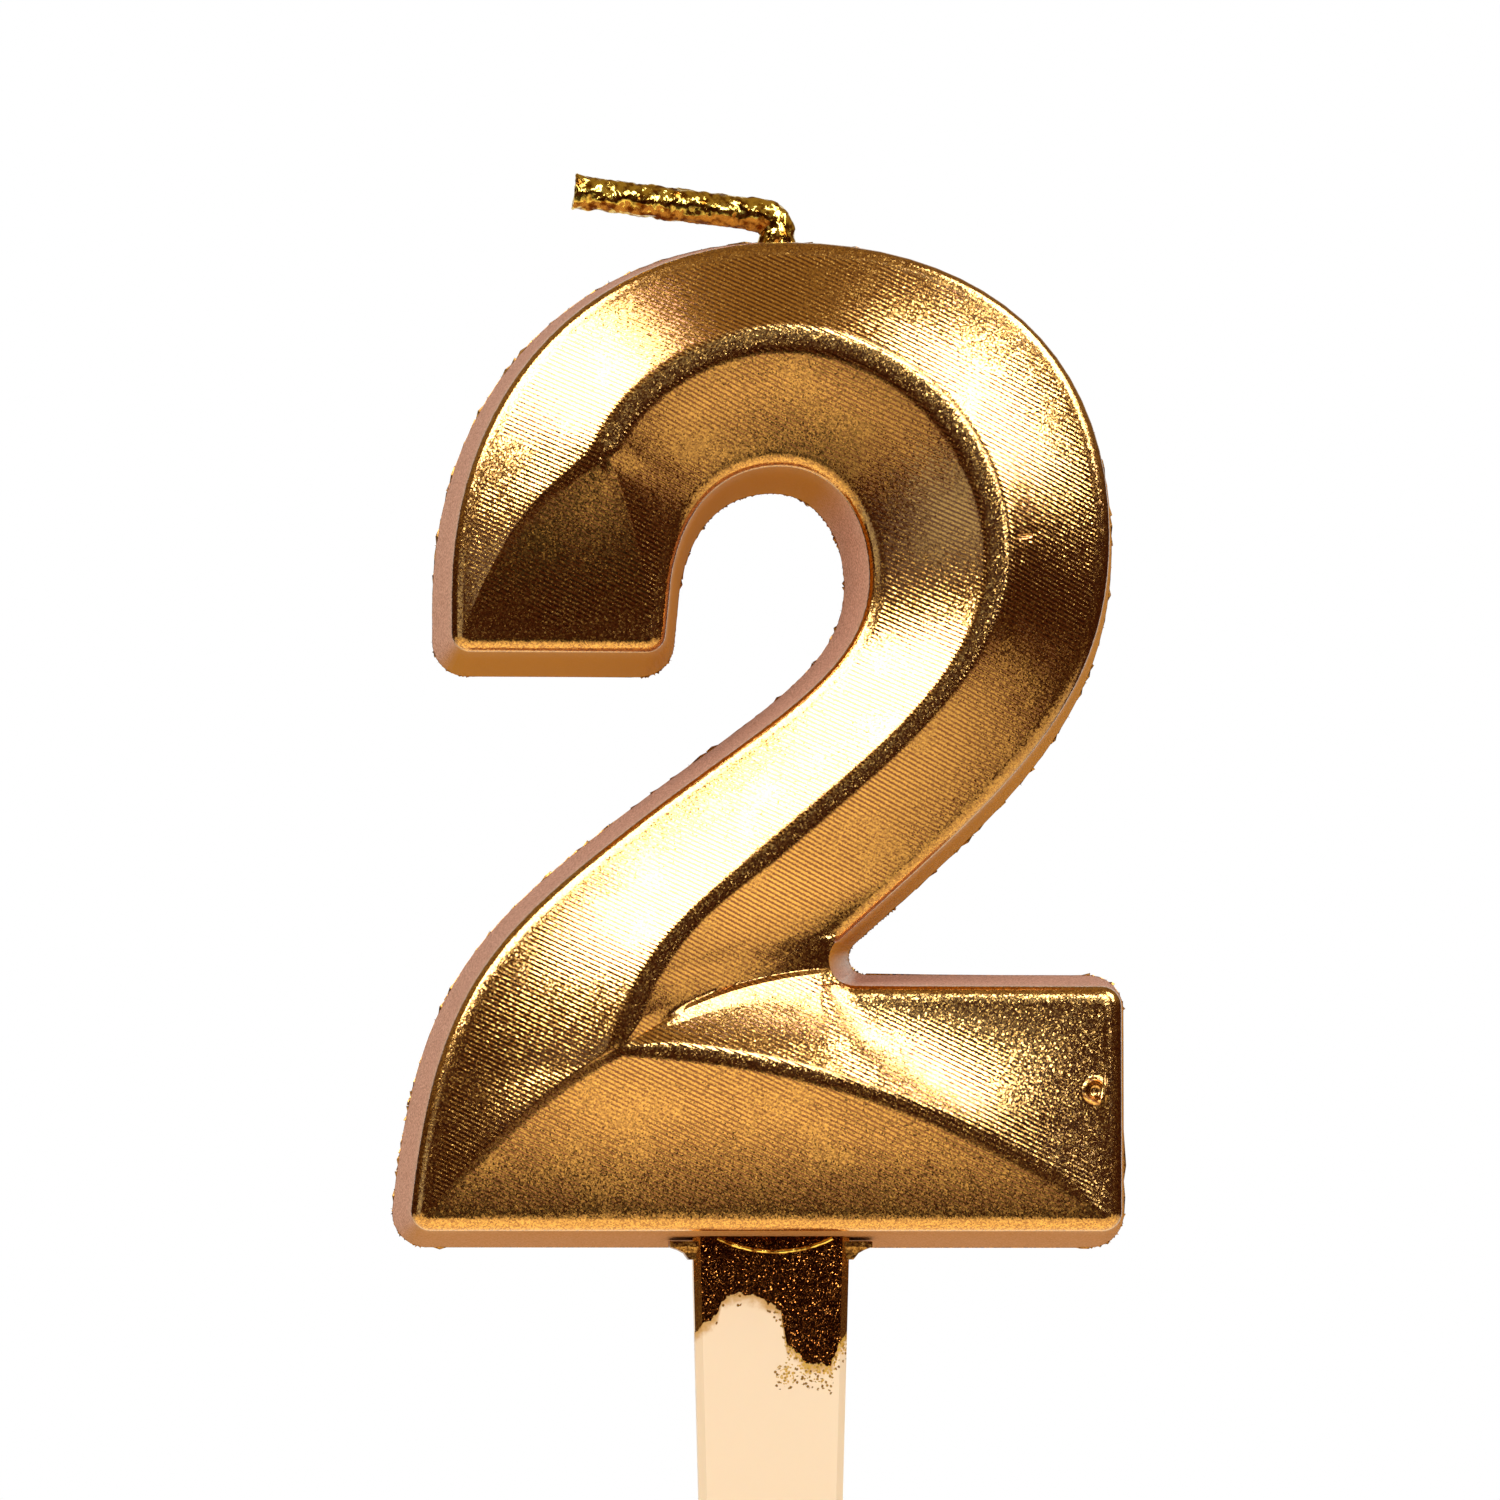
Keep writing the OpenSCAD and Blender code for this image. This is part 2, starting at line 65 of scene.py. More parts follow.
# Where the photograph was taken from
LOOK_ACROSS = -3.55
LOOK_UP = -3.5
CAMERA_AWAY = 500 * MM
AIM = Vector((-1.39, -4.0, 27.56)) * MM
LENS = 215.8
SENSOR = 36

# The candle's own places and sizes, the wick's with its foil
KINK = Vector((0.4, 0.0, 57.825)) * MM
TIP_TILT = math.radians(7)
TIP_LONG = 11.5 * MM
WICK_R = 0.95 * MM
BEND_R = 1.0 * MM
FLOOR_Z = -42.0 * MM

# The front edge's distance from the wall's middle in millimetres, a place half way round its rounding,
# a place just before the back, and how far forward a face has to look to count as front
FRONT = 4
RIM_Y = -3.6 * MM
NEAR_BACK_Y = 3.9 * MM
FRONTAL = -0.5

# Radii in millimetres of the ever smaller rounds in which a dent's place is cut finer
DENT_ROUNDS = (4.0, 2.5, 1.8, 1.4, 1.1, 0.9, 0.8)

# Along the seam: share of the way, then in millimetres the brow's width, its back and its front over the
# numeral's front, and the tail's height at the cliff's foot and further off
BROW = (
    (-0.08, 0.65, 0.06, 0.0, 0.0, 0.0),
    (0.0, 0.65, 0.12, 0.0, -0.12, 0.03),
    (0.05, 0.65, 0.17, 0.04, -0.1, 0.1),
    (0.15, 0.65, 0.35, 0.22, 0.02, 0.33),
    (0.3, 0.65, 0.68, 0.55, 0.26, 0.79),
    (0.5, 0.65, 1.19, 1.06, 0.8, 1.53),
    (0.72, 0.46, 1.76, 1.67, 1.62, 2.34),
    (0.8, 0.40, 1.97, 1.89, 1.92, 2.63),
)
CLIFF_WIDE = 0.28
TAIL_WIDE = 2.0
BROW_FADES_FROM = 0.68

# Border in millimetres of the bar's upper facet, between the seam, the crest and the edges
BAR_FACET = [
    (-7.2, 11.45), (-5.5, 11.65), (0, 11.05), (5, 9.7), (10, 7.65), (15, 5.05), (18, 3.1),
    (18.2, 13.3), (4.6, 13.3), (3.2, 13.6), (2.2, 14.3), (-0.6, 13.75), (-3.4, 13.0), (-5.6, 12.1),
]

# Lower edge of the gold film, in millimetres across the stick and down from the wax
FILM_EDGE = [
    (-4.4, -4.9), (-3.79, -4.35), (-3.0, -3.73), (-2.78, -2.95), (-1.99, -2.61), (-0.93, -2.73),
    (-0.32, -3.06), (0.52, -3.51), (0.63, -4.23), (0.85, -5.41), (1.53, -5.97), (1.92, -6.58),
    (3.31, -6.58), (3.76, -5.41), (4.4, -4.6),
]

# Colours of the finishes
DEEP_GOLD, BRIGHT_GOLD = (0.24, 0.075, 0.008, 1), (1.0, 0.535, 0.105, 1)
DARK_ROSE, PALE_ROSE = (0.42, 0.19, 0.11, 1), (0.74, 0.40, 0.27, 1)
# Golden colour painted on the walls that look down and to the right: a painted reflection of the lit table
WALL_PAINTED_REFLECTION = (0.54, 0.21, 0.01, 1)
# The film's near-black front is a painted dark reflection; the same film is gold on the bevels that face the
# sides
FILM_PAINTED_DARK, FILM_SPARK = (0.045, 0.007, 0.003, 1), (0.95, 0.33, 0.05, 1)
BEVEL_GOLD = (0.85, 0.48, 0.11, 1)
CREAM, STAIN = (0.99, 0.76, 0.52, 1), (0.62, 0.32, 0.05, 1)
SPECK_DARK, SPECK_PALE = (0.24, 0.10, 0.012, 1), (0.72, 0.42, 0.07, 1)
FOIL_DEEP, FOIL_BRIGHT = (0.24, 0.08, 0.006, 1), (1.0, 0.69, 0.12, 1)
RIM_DEEP, RIM_BRIGHT = (0.08, 0.025, 0.006, 1), (0.55, 0.27, 0.05, 1)

# Colours and places of the studio
TABLE_PALE = (0.88, 0.79, 0.63, 1)
PANEL_TINT = (0.74, 0.81, 1, 1)
CARD_TINT = (1, 0.87, 0.66, 1)
ROOM_LOW, ROOM_HIGH = (0.055, 0.017, 0.007, 1), (0.28, 0.19, 0.08, 1)
FILL_NEAR, FILL_FAR = (0.34, 0.335, 0.33, 1), (0.57, 0.57, 0.57, 1)
WHITE = (1, 1, 1, 1)
LIT_MIDDLE = Vector((0, 0, 30 * MM))
PANEL_AWAY, PANEL_GLOW = 0.8, 12.0
GLOW_AWAY, SOFT_GLOW = 0.9, 0.3
WALL_GLOW = 0.7


# Picking and editing

def pick(piece):
    """Only this piece is selected and active."""
    bpy.ops.object.select_all(action="DESELECT")
    piece.select_set(True)
    bpy.context.view_layer.objects.active = piece


def edit(piece, by="VERT"):
    """Opens a piece for shaping, with nothing in it selected."""
    pick(piece)
    bpy.ops.object.mode_set(mode="EDIT")
    bpy.ops.mesh.select_mode(type=by)
    bpy.ops.mesh.select_all(action="DESELECT")


def edit_all(piece):
    """Opens a piece for shaping, with all of it selected."""
    edit(piece)
    bpy.ops.mesh.select_all(action="SELECT")


def done():
    """Closes the piece that is open for shaping."""
    bpy.ops.object.mode_set(mode="OBJECT")


def choose_faces(piece, wanted):
    """Selects the faces whose middle and direction are wanted, and opens the piece for shaping."""
    edit(piece, "FACE")
    done()
    for face in piece.data.polygons:
        face.select = wanted(face.center, face.normal)
    bpy.ops.object.mode_set(mode="EDIT")


def sew_up():
    """Joins the doubled points of the piece that is open, turns its faces outward and closes it."""
    bpy.ops.mesh.select_all(action="SELECT")
    bpy.ops.mesh.remove_doubles(threshold=0.001 * MM)
    bpy.ops.mesh.normals_make_consistent(inside=False)
    done()


def start(name, shape, **sizes):
    """A new piece from one of the basic shapes."""
    bpy.ops.object.select_all(action="DESELECT")
    shape(**sizes)
    piece = bpy.context.object
    piece.name = name
    return piece


def cast_from(node, name):
    """A piece of its own with a solid's shape, its loose triangles sewn together."""
    piece = bpy.data.objects.new(name, frame["nodes"][node].data.copy())
    bpy.context.scene.collection.objects.link(piece)
    pick(piece)
    bpy.ops.mesh.customdata_custom_splitnormals_clear()
    edit_all(piece)
    bpy.ops.mesh.remove_doubles(threshold=0.01 * MM)
    done()
    piece.data.materials.clear()
    return piece


def crumple(piece, name, basis, grain, strength):
    """Pushes the surface in and out by a cloud of this grain."""
    cloud = bpy.data.textures.new(name, "CLOUDS")
    cloud.noise_basis = basis
    cloud.noise_scale = grain
    cloud.noise_depth = 1
    step = piece.modifiers.new(name, "DISPLACE")
    step.texture = cloud
    step.texture_coords = "LOCAL"
    step.strength = strength
    step.mid_level = 0.4


def apply_all(piece):
    """Makes a piece's modifiers final, in their order."""
    pick(piece)
    for step in [m.name for m in piece.modifiers]:
        bpy.ops.object.modifier_apply(modifier=step)


def coat(piece, finish, crease):
    """Shades a piece smooth except where it turns by more than the crease's angle, and gives it its finish."""
    pick(piece)
    bpy.ops.object.shade_smooth_by_angle(angle=math.radians(crease))
    piece.data.materials.append(finish)


# Node shorthand

def feed(tree, node, inputs):
    """Sets a node's numbers and makes its links."""
    for key, value in inputs.items():
        if isinstance(value, bpy.types.NodeSocket):
            tree.links.new(value, node.inputs[key])
        else:
            node.inputs[key].default_value = value


def add(tree, kind, inputs=None, **settings):
    """A node with its settings, numbers and links."""
    made = tree.nodes.new("ShaderNode" + kind)
    for key, value in settings.items():
        setattr(made, key, value)
    feed(tree, made, inputs or {})
    return made


def sums(tree, operation, a, b=0.0):
    """One step of arithmetic."""
    return add(tree, "Math", {0: a, 1: b}, operation=operation).outputs[0]


def vectors(tree, operation, a, b):
    """One step of arithmetic with two vectors."""
    made = add(tree, "VectorMath", {0: a, 1: b}, operation=operation)
    return made.outputs["Value" if operation in ("DOT_PRODUCT", "DISTANCE") else "Vector"]


def scaled(tree, vector, by):
    """A vector made longer or shorter."""
    return add(tree, "VectorMath", {0: vector, "Scale": by}, operation="SCALE").outputs[0]


def split(tree, vector):
    """A vector's three numbers, by the letters of their axes."""
    return add(tree, "SeparateXYZ", {0: vector}).outputs


def between_plain(tree, value, low, high, out_low=0.0, out_high=1.0, easing="LINEAR"):
    """out_low at low and beyond, out_high at high and beyond, in a straight line between."""
    limits = {"From Min": low, "From Max": high, "To Min": out_low, "To Max": out_high}
    made = add(tree, "MapRange", {"Value": value, **limits}, clamp=True, interpolation_type=easing)
    return made.outputs["Result"]


def between(tree, value, low, high, out_low=0.0, out_high=1.0):
    """As between_plain, eased at both ends."""
    return between_plain(tree, value, low, high, out_low, out_high, "SMOOTHSTEP")


def mixed(tree, share, a, b):
    """Colour a where share is 0, colour b where it is 1."""
    mix = add(tree, "Mix", {"Factor": share}, data_type="RGBA")
    sockets = [i for i, s in enumerate(mix.inputs) if s.type == "RGBA"]
    feed(tree, mix, dict(zip(sockets, (a, b))))
    return [s for s in mix.outputs if s.type == "RGBA"][0]


def noise(tree, place, size, detail, rough=0.5):
    """Cloudy noise in blotches of about this size."""
    inputs = {"Vector": place, "Scale": 1 / size, "Detail": detail, "Roughness": rough}
    return add(tree, "TexNoise", inputs).outputs


def grains(tree, place, size):
    """Cells of about this size, each with its own colour."""
    return add(tree, "TexVoronoi", {"Vector": place, "Scale": 1 / size}, feature="F1").outputs


def leaning_flakes(tree, place, size, lean, stray):
    """Every flake of the gilding lies a little its own way, a few of them more. Gives the lean and two
    numbers of each flake's own."""
    own = grains(tree, place, size)["Color"]
    tilt = vectors(tree, "SUBTRACT", own, (0.5, 0.5, 0.5))
    number = split(tree, own)
    rare = sums(tree, "POWER", number["Z"], 4.0)
    loose = add(tree, "Math", {0: rare, 1: stray, 2: lean}, operation="MULTIPLY_ADD").outputs[0]
    return scaled(tree, tilt, loose), number["X"], number["Y"]


def turned_normal(tree, *leans):
    """The surface's own direction with these leans added."""
    way = add(tree, "NewGeometry").outputs["Normal"]
    for lean in leans:
        way = vectors(tree, "ADD", way, lean)
    return add(tree, "VectorMath", {0: way}, operation="NORMALIZE").outputs[0]


def new_finish(name):
    """A plain finish: the material, its nodes and its surface."""
    mat = bpy.data.materials.new(name)
    mat.use_nodes = True
    tree = mat.node_tree
    return mat, tree, tree.nodes["Principled BSDF"]


def new_glow(name, tint):
    """A finish that only gives light: the material, its nodes and its light."""
    mat, tree, shader = new_finish(name)
    tree.nodes.remove(shader)
    light = add(tree, "Emission", {"Color": tint})
    tree.links.new(light.outputs[0], tree.nodes["Material Output"].inputs["Surface"])
    return mat, tree, light


# Finishes

def gilt_lacquer():
    """Gold lacquer over wax: bright flaked metal on the front, matt on the walls and the back."""
    mat, tree, shader = new_finish("gilt_lacquer")
    coord = add(tree, "TexCoord").outputs
    place, way = coord["Object"], coord["Normal"]
    at, facing = split(tree, place), split(tree, way)
    front = between(tree, facing["Y"], -0.16, -0.28)
    tilt, own, dull = leaning_flakes(tree, place, 0.08 * MM, 0.085, 0.08)

    # The fine slanting lines of the master the mould was made from, which only slopes above the edge show
    slant, pitch, line_lean, line_shade = math.radians(26), 0.24 * MM, 0.065, 0.75
    across = Vector((math.sin(slant), 0, math.cos(slant)))
    phase = vectors(tree, "DOT_PRODUCT", place, across * (2 * math.pi / pitch))
    slope = sums(tree, "MULTIPLY", between(tree, facing["Y"], -0.998, -0.99),
                 between(tree, at["Y"], -FRONT * MM, -(FRONT + 0.12) * MM))
    worn = between(tree, noise(tree, place, 3 * MM, 2)["Fac"], 0.25, 0.55)
    wave = sums(tree, "MULTIPLY", sums(tree, "SINE", phase), sums(tree, "MULTIPLY", worn, slope))
    leaning = turned_normal(tree, tilt, scaled(tree, across * line_lean, wave))
    # Along the lines the gold's colour is also made darker and lighter: painted shade and highlight of the fine
    # grooves, on top of the flakes' own tone
    painted_groove_shade = sums(tree, "MULTIPLY", wave, line_shade)
    bright = sums(tree, "ADD", between_plain(tree, own, 0, 1, 0.15, 0.85), painted_groove_shade)
    gold = mixed(tree, bright, DEEP_GOLD, BRIGHT_GOLD)

    # Matt rose on the walls; on those that look down and to the right, golden colour painted on as a reflection
    # of the lit table, less of it towards the bottom edge
    down = between(tree, vectors(tree, "DOT_PRODUCT", way, (0.55, 0, -0.83)), -0.2, 0.5)
    painted_table_reflection = sums(tree, "MULTIPLY", down, between(tree, at["Z"], 0.2 * MM, 2 * MM, 0.6, 1.0))
    mottle = between(tree, noise(tree, place, 0.12 * MM, 2)["Fac"], 0.35, 0.65)
    wall = mixed(tree, painted_table_reflection, mixed(tree, mottle, DARK_ROSE, PALE_ROSE), WALL_PAINTED_REFLECTION)

    sheen = between_plain(tree, sums(tree, "POWER", dull, 3.0), 0, 1, 0.12, 0.3)
    rough = add(tree, "Mix", {"Factor": front, "A": 0.8, "B": sheen}, data_type="FLOAT").outputs[0]
    feed(tree, shader, {
        "Base Color": mixed(tree, front, wall, gold),
        "Metallic": between(tree, front, 0, 1),
        "Roughness": rough,
        "Normal": leaning,
        "Coat Normal": leaning,
        "Coat Weight": front,
        "Coat IOR": 1.45,
        "Coat Roughness": 0.15,
        "Specular IOR Level": 0.12,
    })
    return mat


def film_edge(tree, across):
    """Height of the gold film's ragged lower edge, by the place across the stick."""
    half_wide, deepest = 4.4, 8
    curve = add(tree, "FloatCurve", {"Value": between_plain(tree, across, -half_wide * MM, half_wide * MM)})
    line = curve.mapping.curves[0]
    while len(line.points) < len(FILM_EDGE):
        line.points.new(0.5, 0.5)
    for point, (x, z) in zip(line.points, FILM_EDGE):
        point.location = ((x + half_wide) / (2 * half_wide), (z + deepest) / deepest)
        point.handle_type = "VECTOR"
    curve.mapping.update()
    return between_plain(tree, curve.outputs["Value"], 0, 1, -deepest * MM, 0)


def stick_plastic():
    """Cream moulded plastic, its top under a torn film of the candle's gilding."""
    mat, tree, shader = new_finish("cream_stick_plastic")
    coord = add(tree, "TexCoord").outputs
    place = coord["Object"]
    at = split(tree, place)

    # How far below the film's edge a place lies; the back has the front's edge turned round
    side = between_plain(tree, at["Y"], -0.01 * MM, 0.01 * MM, 1, -1)
    across = sums(tree, "MULTIPLY", at["X"], side)
    ragged = noise(tree, place, 0.45 * MM, 4, 0.65)["Fac"]
    wander = sums(tree, "MULTIPLY", sums(tree, "SUBTRACT", ragged, 0.5), 0.9 * MM)
    below = sums(tree, "ADD", sums(tree, "SUBTRACT", film_edge(tree, across), at["Z"]), wander)
    film = between(tree, below, 0.03 * MM, -0.03 * MM)

    # Specks that thin out below the film, most of them on the right and in one patch
    dust = grains(tree, place, 0.14 * MM)
    lot = split(tree, dust["Color"])["Y"]
    right = between(tree, across, -0.4 * MM, 1.6 * MM, 0.03, 0.95)
    thin = sums(tree, "POWER", between(tree, below, 2.3 * MM, 0.0), 2.0)
    from_patch = vectors(tree, "DISTANCE", place, Vector((0.85, -1.0, -7.1)) * MM)
    chance = sums(tree, "MAXIMUM", sums(tree, "MULTIPLY", thin, right),
                  between(tree, from_patch, 1.0 * MM, 0.1 * MM))
    speck = sums(tree, "MULTIPLY", sums(tree, "LESS_THAN", lot, chance),
                 between(tree, dust["Distance"], 0.75, 0.5))
    gilded = sums(tree, "MAXIMUM", film, speck)

    # The film near black with a few bright flakes where it faces front, a painted dark reflection, and gold on
    # the bevels that face the sides; the plastic stained along the film's edge
    tilt, own, _ = leaning_flakes(tree, place, 0.055 * MM, 0.10, 0.2)
    dark = mixed(tree, sums(tree, "POWER", own, 5.0), FILM_PAINTED_DARK, FILM_SPARK)
    bevel = between(tree, sums(tree, "ABSOLUTE", split(tree, coord["Normal"])["X"]), 0.3, 0.6)
    stain = sums(tree, "MULTIPLY", between(tree, below, 0.7 * MM, 0.05 * MM), 0.9)
    ochre = mixed(tree, between_plain(tree, lot, 0, 0.4), SPECK_DARK, SPECK_PALE)
    dusted = mixed(tree, speck, mixed(tree, stain, CREAM, STAIN), ochre)
    feed(tree, shader, {
        "Base Color": mixed(tree, film, dusted, mixed(tree, bevel, dark, BEVEL_GOLD)),
        "Metallic": film,
        "Roughness": between_plain(tree, gilded, 0, 1, 0.42, 0.2),
        "Normal": turned_normal(tree, scaled(tree, tilt, gilded)),
        "Subsurface Weight": 0.15,
        "Subsurface Radius": (1.0, 0.6, 0.35),
        "Subsurface Scale": 1.2 * MM,
    })
    return mat


def wick_foil():
    """Crumpled gold foil over the wick."""
    mat, tree, shader = new_finish("gilt_wick_foil")
    place = add(tree, "TexCoord").outputs["Object"]
    folds = vectors(tree, "SUBTRACT", noise(tree, place, 0.35 * MM, 3)["Color"], (0.5, 0.5, 0.5))
    worn = between(tree, noise(tree, place, 0.5 * MM, 2)["Fac"], 0.34, 0.6)
    feed(tree, shader, {
        "Base Color": mixed(tree, worn, FOIL_DEEP, FOIL_BRIGHT),
        "Metallic": 1.0,
        "Roughness": 0.12,
        "Normal": turned_normal(tree, scaled(tree, folds, 0.9)),
    })
    return mat


def dark_gilding():
    """Dark flaked gilding on the rough wax of the rim and the collar."""
    mat, tree, shader = new_finish("dark_gilding")
    place = add(tree, "TexCoord").outputs["Object"]
    tilt, own, _ = leaning_flakes(tree, place, 0.10 * MM, 0.12, 0.2)
    feed(tree, shader, {
        "Base Color": mixed(tree, own, RIM_DEEP, RIM_BRIGHT),
        "Metallic": 0.9,
        "Roughness": 0.3,
        "Normal": turned_normal(tree, tilt),
    })
    return mat


# The numeral's front

def dent(piece, at, profile, cuts):
    """Cuts the front finer and finer round a place and raises it by a profile of the offset from there."""
    skin = -3 * MM
    for radius in DENT_ROUNDS[-cuts:]:
        choose_faces(piece, lambda middle, way: way.y < FRONTAL and
                     math.hypot(middle.x - at[0], middle.z - at[1]) < radius * MM)
        bpy.ops.mesh.subdivide(number_cuts=1)
        done()
    for point in piece.data.vertices:
        if point.co.y < skin:
            point.co.y -= profile(point.co.x - at[0], point.co.z - at[1])


def burst_bubble(x, z):
    """Height of a burst air bubble: a raised ring round a shallow pit."""
    ring_high, ring_at, ring_wide, pit_deep, pit_wide = 0.12, 0.6, 0.12, 0.3, 0.44
    r = math.hypot(x, z) / MM
    ring = ring_high * math.exp(-((r - ring_at) / ring_wide) ** 2)
    return (ring - pit_deep * math.exp(-(r / pit_wide) ** 4)) * MM


def scratch(x, z):
    """Height of a short curved nick."""
    deep, wide, half_long, curve, slant = 0.12, 0.09, 0.42, 0.2, 0.15
    along = x / MM
    off = z / MM - curve * along ** 2 - slant * along
    return -deep * math.exp(-(off / wide) ** 2) * math.exp(-(along / half_long) ** 4) * MM


def seam_line():
    """Places along the seam from the notch to the fork: share of the way, place in plan, and the seam's
    direction there with the whole way's length."""
    start_at, pull, end = (Vector(p) * MM for p in ((2.54, 15.13), (-3.78, 14.53), (-8.59, 10.95)))
    shares = [i / 30 for i in range(31)]
    return [(u, start_at * (1 - u) ** 2 + pull * 2 * u * (1 - u) + end * u * u,
             (pull - start_at) * 2 * (1 - u) + (end - pull) * 2 * u) for u in shares]


def off_seam(at, line):
    """How far along the seam a place lies, as a share, and how far above the seam. A place that isn't
    near the seam counts as a metre off."""
    if not (-7.5 * MM < at.x < 4 * MM and 10.5 * MM < at.z < 18 * MM):
        return 0, 1
    plan = Vector((at.x, at.z))
    share, place, go = min(line, key=lambda step: (plan - step[1]).length_squared)
    gap = plan - place
    return share + gap.dot(go) / go.length_squared, (gap.x * go.y - gap.y * go.x) / go.length


def seam_rise(share, above):
    """Height over the numeral's front at a place by the seam, in millimetres, or None outside the brow."""
    for low, high in zip(BROW, BROW[1:]):
        if not low[0] <= share < high[0]:
            continue
        part = (share - low[0]) / (high[0] - low[0])
        wide, back, front, foot, far = (a + (b - a) * part for a, b in zip(low[1:], high[1:]))
        if -wide < above <= 0:
            return front - (back - front) * above / wide
        if 0 < above <= CLIFF_WIDE:
            return front + (foot - front) * above / CLIFF_WIDE
        if CLIFF_WIDE < above < TAIL_WIDE:
            return foot + (far - foot) * ((above - CLIFF_WIDE) / (TAIL_WIDE - CLIFF_WIDE)) ** 1.1
    return None


def press_seam(piece):
    """Gives the bar an even brow along the seam, and sinks the tail below it behind a small cliff."""
    line = seam_line()
    ends = BROW[-1][0]
    for reach, cuts in ((2.2, 1), (1.3, 2)):
        choose_faces(piece, lambda at, way: way.y < FRONTAL and
                     -1.2 * MM < off_seam(at, line)[1] < reach * MM)
        bpy.ops.mesh.subdivide(number_cuts=cuts)
        done()
    for point in piece.data.vertices:
        share, above = off_seam(point.co, line)
        rise = seam_rise(share, above / MM)
        if rise is not None and point.co.y <= RIM_Y:
            fade = min(1, (ends - share) / (ends - BROW_FADES_FROM))
            point.co.y += (-(FRONT + rise) * MM - point.co.y) * fade


def soften_bar(piece):
    """Rubs the bar's upper facet even."""

    def inside(at, way):
        x, z = at.x / MM, at.z / MM
        odd = False
        for (x0, z0), (x1, z1) in zip(BAR_FACET, BAR_FACET[1:] + BAR_FACET[:1]):
            if (z0 > z) != (z1 > z) and x < x0 + (x1 - x0) * (z - z0) / (z1 - z0):
                odd = not odd
        return odd and way.y < FRONTAL

    choose_faces(piece, inside)
    bpy.ops.mesh.subdivide(number_cuts=3)
    bpy.ops.mesh.select_less()
    bpy.ops.mesh.vertices_smooth(factor=0.5, repeat=60)
    done()


# Pieces

def numeral():
    """The wax numeral, with the small marks of its making on the front."""
    piece = cast_from("numeral_body", "numeral")
    press_seam(piece)
    soften_bar(piece)
    dent(piece, (17.85 * MM, 8.65 * MM), burst_bubble, 4)
    dent(piece, (13.75 * MM, 39.4 * MM), scratch, 7)
    coat(piece, gilt_lacquer(), 48)
    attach(piece, "candle")
    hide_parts("numeral_body")
    return piece


def mould_flash(body):
    """The thin torn rim of wax that the mould left round the back edge."""
    thick, thinnest, swell, rarity = 0.08 * MM, 0.2, 1.9, 5
    rng = random.Random(4)
    choose_faces(body, lambda middle, way: way.y > 0.9 and middle.y > NEAR_BACK_Y)
    bpy.ops.mesh.region_to_loop()
    bpy.ops.mesh.duplicate()
    bpy.ops.mesh.separate(type="SELECTED")
    done()
    rim = [o for o in bpy.context.selected_objects if o is not body][0]
    rim.name = "mould_flash"
    edit_all(rim)
    bpy.ops.mesh.subdivide(number_cuts=2)
    done()
    rim.data.materials.clear()
    bpy.ops.object.convert(target="CURVE")
    rim.data.bevel_depth = thick
    rim.data.bevel_resolution = 1
    for line in rim.data.splines:
        for point in line.points:
            point.radius = thinnest + swell * rng.random() ** rarity
    bpy.ops.object.convert(target="MESH")
    rim.data.materials.append(dark_gilding())
    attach(rim, "candle")


def wax_collar():
    """The wax that crept down the stick's sides when it set."""
    # How far each ring hangs below the last in millimetres, and how much narrower and thinner it is
    rings = ((0.3, 1.0, 1.0), (0.14, 0.93, 0.94), (0.2, 0.925, 0.94), (0.36, 0.945, 0.95))
    piece = start("wax_collar", bpy.ops.mesh.primitive_plane_add, size=1, location=(0, 0, 0.3 * MM))
    piece.scale = (11.3 * MM, 1.75 * MM, 1)
    bpy.ops.object.transform_apply(location=True, rotation=False, scale=True)
    edit_all(piece)
    for drop, narrow, thin in rings:
        bpy.ops.mesh.extrude_region_move(TRANSFORM_OT_translate={"value": (0, 0, -drop * MM)})
        bpy.ops.transform.resize(value=(narrow, thin, 1))
    sew_up()
    step = piece.modifiers.new("fine", "SUBSURF")
    step.subdivision_type = "SIMPLE"
    step.levels = step.render_levels = 4
    crumple(piece, "crept_wax", "ORIGINAL_PERLIN", 0.9 * MM, 0.12 * MM)
    apply_all(piece)
    coat(piece, dark_gilding(), 40)
    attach(piece, "candle")


def wax_lip():
    """The bead along the front of the stick where the wax stopped, hanging like a crescent."""
    middle, hang = Vector((0.19, -1.05, 7.03)) * MM, Vector((0, 0, 7.3 * MM))
    sweep = math.radians(52)
    piece = start("wax_lip", bpy.ops.mesh.primitive_circle_add, vertices=12, radius=0.12 * MM, fill_type="NGON",
                  location=middle - hang, rotation=(0, math.pi / 2, 0))
    bpy.ops.object.transform_apply(location=True, rotation=True, scale=True)
    edit_all(piece)
    bpy.ops.transform.rotate(value=-sweep / 2, orient_axis="Y", center_override=middle)
    bpy.ops.mesh.spin(steps=48, angle=sweep, center=middle, axis=(0, 1, 0))
    sew_up()
    crumple(piece, "lip_swell", "ORIGINAL_PERLIN", 0.7 * MM, 0.1 * MM)
    apply_all(piece)
    coat(piece, wick_foil(), 60)
    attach(piece, "candle")


